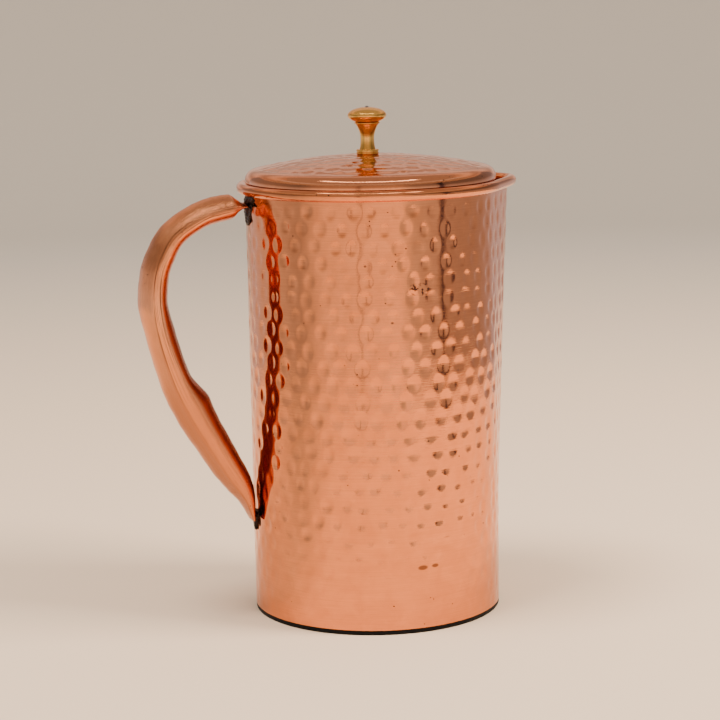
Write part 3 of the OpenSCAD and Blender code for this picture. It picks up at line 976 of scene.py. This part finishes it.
# How far off the room stands, and what the copper reflects of it at degrees right of the front
ROOM_R = 0.58
ROOM = [
    (-140, (0.86, 0.78, 0.78)), (-94, (0.86, 0.78, 0.78)), (-66, (0.60, 0.58, 0.62)),
    (-40, (1.35, 1.06, 0.88)), (-11.5, (1.5, 1.17, 0.96)), (-10.5, (0.3, 0.26, 0.34)),
    (-9.5, (0.3, 0.26, 0.34)), (-8.5, (1.5, 1.17, 0.96)), (24, (1.65, 1.27, 1.0)),
    (36, (0.90, 0.82, 0.80)), (61, (0.70, 0.66, 0.70)), (62.5, (0.08, 0.07, 0.14)),
    (66.5, (0.08, 0.07, 0.14)), (68, (0.56, 0.53, 0.58)), (112, (0.50, 0.48, 0.52)),
    (150, (0.75, 0.66, 0.64)),
]


def make_room():
    """The room past the floor in front; its glow fades with height."""
    bm = curved_card(ROOM[0][0], ROOM[-1][0], (ROOM_R, 0.001), (ROOM_R, 0.46))
    material = flat_material("room_card", (0, 0, 0), 1)
    tree = material.node_tree
    parts, angle = front_parts(tree)
    stops = [(math.radians(turn), color) for turn, color in ROOM]
    dimmed = 0.62
    high_up = add_node(tree, "MapRange", {"From Min": 0.16, "From Max": 0.28}, Value=parts.outputs[2])
    shader = tree.nodes["Principled BSDF"]
    tree.links.new(ramp_color(tree, angle, stops), shader.inputs["Emission Color"])
    tree.links.new(math_node(tree, "MULTIPLY_ADD", high_up.outputs[0], -dimmed, 1.0),
                   shader.inputs["Emission Strength"])
    stage_object("room", bm, material)


def make_back():
    """Bands of light and shade behind the jug, which the lid's hammered top picks up."""
    bm = curved_card(110, 250, (0.62, 0.15), (0.62, 0.85))
    material = flat_material("back_card", (0, 0, 0), 1)
    tree = material.node_tree
    parts, _ = front_parts(tree)
    stops = [(0.15, (0.52, 0.35, 0.27)), (0.24, (1.0, 0.69, 0.52)), (0.33, (0.56, 0.38, 0.29)),
             (0.43, (1.05, 0.73, 0.55)), (0.54, (0.52, 0.36, 0.28)), (0.66, (1.1, 0.78, 0.58)),
             (0.85, (0.56, 0.38, 0.28))]
    tree.links.new(ramp_color(tree, parts.outputs[2], stops),
                   tree.nodes["Principled BSDF"].inputs["Emission Color"])
    stage_object("back", bm, material)


def make_strip():
    """A long bright strip overhead in front, for a thin highlight on each rounded edge."""
    bm = curved_card(-80, 75, (0.30, 0.72), (0.26, 0.76))
    stage_object("strip", bm, flat_material("strip_card", (1.0, 0.92, 0.84), 7))


def make_ceiling():
    """A dim ceiling, so that what faces up isn't as bright as what faces the floor."""
    bm = bmesh.new()
    bmesh.ops.create_circle(bm, cap_ends=True, segments=48, radius=0.9)
    bmesh.ops.translate(bm, vec=(0, 0, 1.0), verts=bm.verts)
    material = flat_material("ceiling_card", (0.50, 0.42, 0.37), 1)
    stage_object("ceiling", bm, material)


def make_shade():
    """A darker stretch of floor to the left, soft at its sides."""
    start, end, near, far, lift = -102, -36, 0.075, ROOM_R - 0.002, 0.0008
    bm = curved_card(start, end, (near, lift), (far, lift))
    material = flat_material("shade_card", (0.90, 0.79, 0.70), 1)
    tree = material.node_tree
    parts, angle = front_parts(tree)
    middle, half = math.radians((start + end) / 2), math.radians((end - start) / 2)
    aside = math_node(tree, "ABSOLUTE", math_node(tree, "SUBTRACT", angle, middle))
    side = add_node(tree, "MapRange", {"From Min": half, "From Max": half * 0.1}, Value=aside)
    away = add_node(tree, "MapRange", {"From Min": near, "From Max": 0.3}, Value=distance_out(tree, parts))
    cover = math_node(tree, "MULTIPLY_ADD", away.outputs[0], 0.5, 0.4)
    tree.links.new(math_node(tree, "MULTIPLY", side.outputs[0], cover),
                   tree.nodes["Principled BSDF"].inputs["Alpha"])
    stage_object("shade", bm, material)


def make_light(name, place, power, color):
    """A soft square light that is aimed at the jug's middle; the copper doesn't reflect it."""
    light = bpy.data.lights.new(name, "AREA")
    light.size = 0.5
    light.energy = power
    light.color = color
    lamp = bpy.data.objects.new(name, light)
    lamp.location = place
    aim = Vector((0, 0, 0.09)) - Vector(place)
    lamp.rotation_euler = aim.to_track_quat("-Z", "Y").to_euler()
    lamp.visible_glossy = False
    bpy.context.scene.collection.objects.link(lamp)


def make_world():
    world = bpy.data.worlds.new("studio")
    bpy.context.scene.world = world
    world.use_nodes = True
    shade = world.node_tree.nodes["Background"]
    shade.inputs[0].default_value = (0.80, 0.78, 0.78, 1)
    shade.inputs[1].default_value = 1.0


def make_camera():
    turn, pitch, roll = math.radians(14.63), math.radians(-9.75), math.radians(-1.07)
    forward = Vector((math.sin(turn) * math.cos(pitch), math.cos(turn) * math.cos(pitch), math.sin(pitch)))
    data = bpy.data.cameras.new("camera")
    data.lens = 106.3
    data.sensor_width = 36
    camera = bpy.data.objects.new("camera", data)
    camera.rotation_mode = "QUATERNION"
    upright = forward.to_track_quat("-Z", "Y")
    camera.rotation_quaternion = upright @ Matrix.Rotation(roll, 3, "Z").to_quaternion()
    camera.location = (-0.2304, -0.8598, 0.2584)
    bpy.context.scene.collection.objects.link(camera)
    bpy.context.scene.camera = camera


make_camera()
make_world()
make_floor()
make_light("key", (0.9, -0.5, 1.0), power=33, color=(1.0, 0.84, 0.66))
make_light("top", (-0.45, -0.15, 1.5), power=27, color=(1.0, 0.86, 0.70))
make_room()
make_back()
make_strip()
make_ceiling()
make_shade()

plain_copper = make_plain_copper()
tin = make_tin_solder()
dark_braze_material = make_dark_braze()
make_wall(make_hammered_copper())
make_base_pan(plain_copper)
make_foot(make_rubber_and_contact_shade())
make_handle(make_handle_copper())
make_braze("upper_braze", "handle_top_braze", dark_braze_material, z=handle_top_z + 0.5, half_w=12, up=3.2, down=9.0,
           thick=1.6, seed=3)
make_braze("lower_braze", "handle_low_braze", dark_braze_material, z=HANDLE_LOW_Z + 0.5, half_w=5, up=3.0, down=6.0,
           thick=1.5, seed=4)
make_lid(make_lid_copper())
make_collar(plain_copper)
make_knob(make_turned_brass())
make_screw(make_screw_steel())
make_washer(make_washer_brass())
for node, material in (("rim_wire", make_rim_steel()), ("base_solder", tin), ("lid_solder", tin)):
    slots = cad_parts[node].data.materials
    slots.clear()
    slots.append(material)
